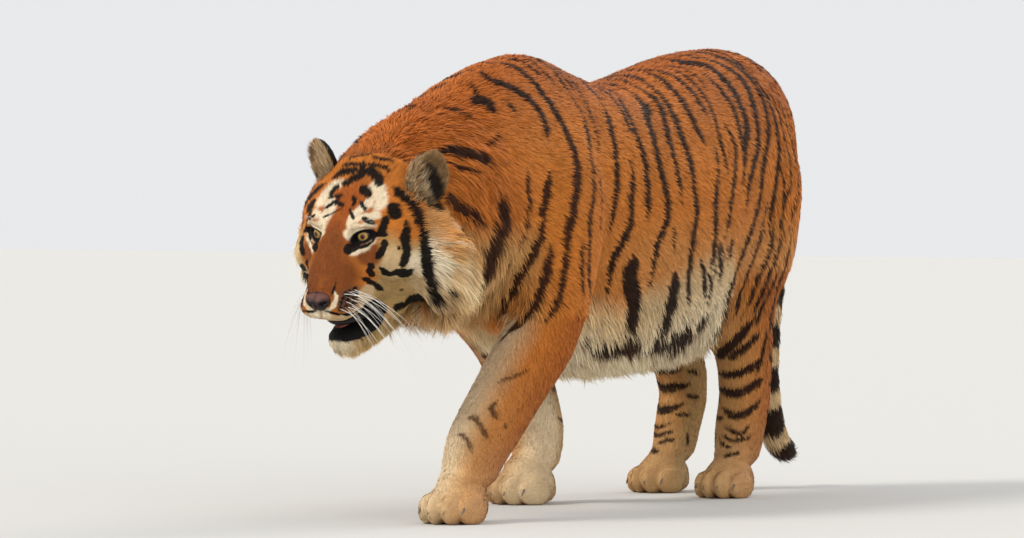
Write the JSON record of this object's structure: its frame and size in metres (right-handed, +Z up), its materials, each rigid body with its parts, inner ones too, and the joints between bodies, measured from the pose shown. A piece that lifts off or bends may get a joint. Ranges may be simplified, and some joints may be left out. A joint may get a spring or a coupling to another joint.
{
  "type": "bengal tiger",
  "caption": "Life-size standing model of a bengal tiger caught in mid-walk, head lowered and turned slightly aside, tail hanging.",
  "frame": {"origin": "on the floor, under the middle of the model's bounding box", "axes": "+Z up; the tiger walks towards -Y, so its body's long axis lies along Y, and its left side is +X"},
  "size_m": [0.4626, 1.9128, 0.9734],
  "materials": {
    "tiger_coat": "short dense orange fur",
    "tiger_pale_coat": "short pale fur",
    "tiger_dark_coat": "short black fur",
    "tiger_nose_skin": "moist bare skin",
    "tiger_eye_glass": "polished glass eye"
  },
  "bodies": {
    "root": {"head": "tiger_coat", "lower_jaw": "tiger_pale_coat", "nose": "tiger_nose_skin", "eye_left": "tiger_eye_glass", "eye_right": "tiger_eye_glass", "ear_left": "tiger_pale_coat", "ear_right": "tiger_pale_coat", "neck": "tiger_coat", "chest": "tiger_coat", "barrel": "tiger_coat", "loin": "tiger_coat", "rump": "tiger_coat", "shoulder_left": "tiger_coat", "shoulder_right": "tiger_coat", "forearm_left": "tiger_coat", "forearm_right": "tiger_coat", "forepaw_left": "tiger_coat", "forepaw_right": "tiger_coat", "thigh_left": "tiger_coat", "thigh_right": "tiger_coat", "shank_left": "tiger_coat", "shank_right": "tiger_coat", "hock_left": "tiger_coat", "hock_right": "tiger_coat", "hindpaw_left": "tiger_coat", "hindpaw_right": "tiger_coat", "tail_root": "tiger_coat", "tail_middle": "tiger_coat", "tail_end": "tiger_coat", "tail_tip": "tiger_dark_coat"}
  },
  "joints": []
}
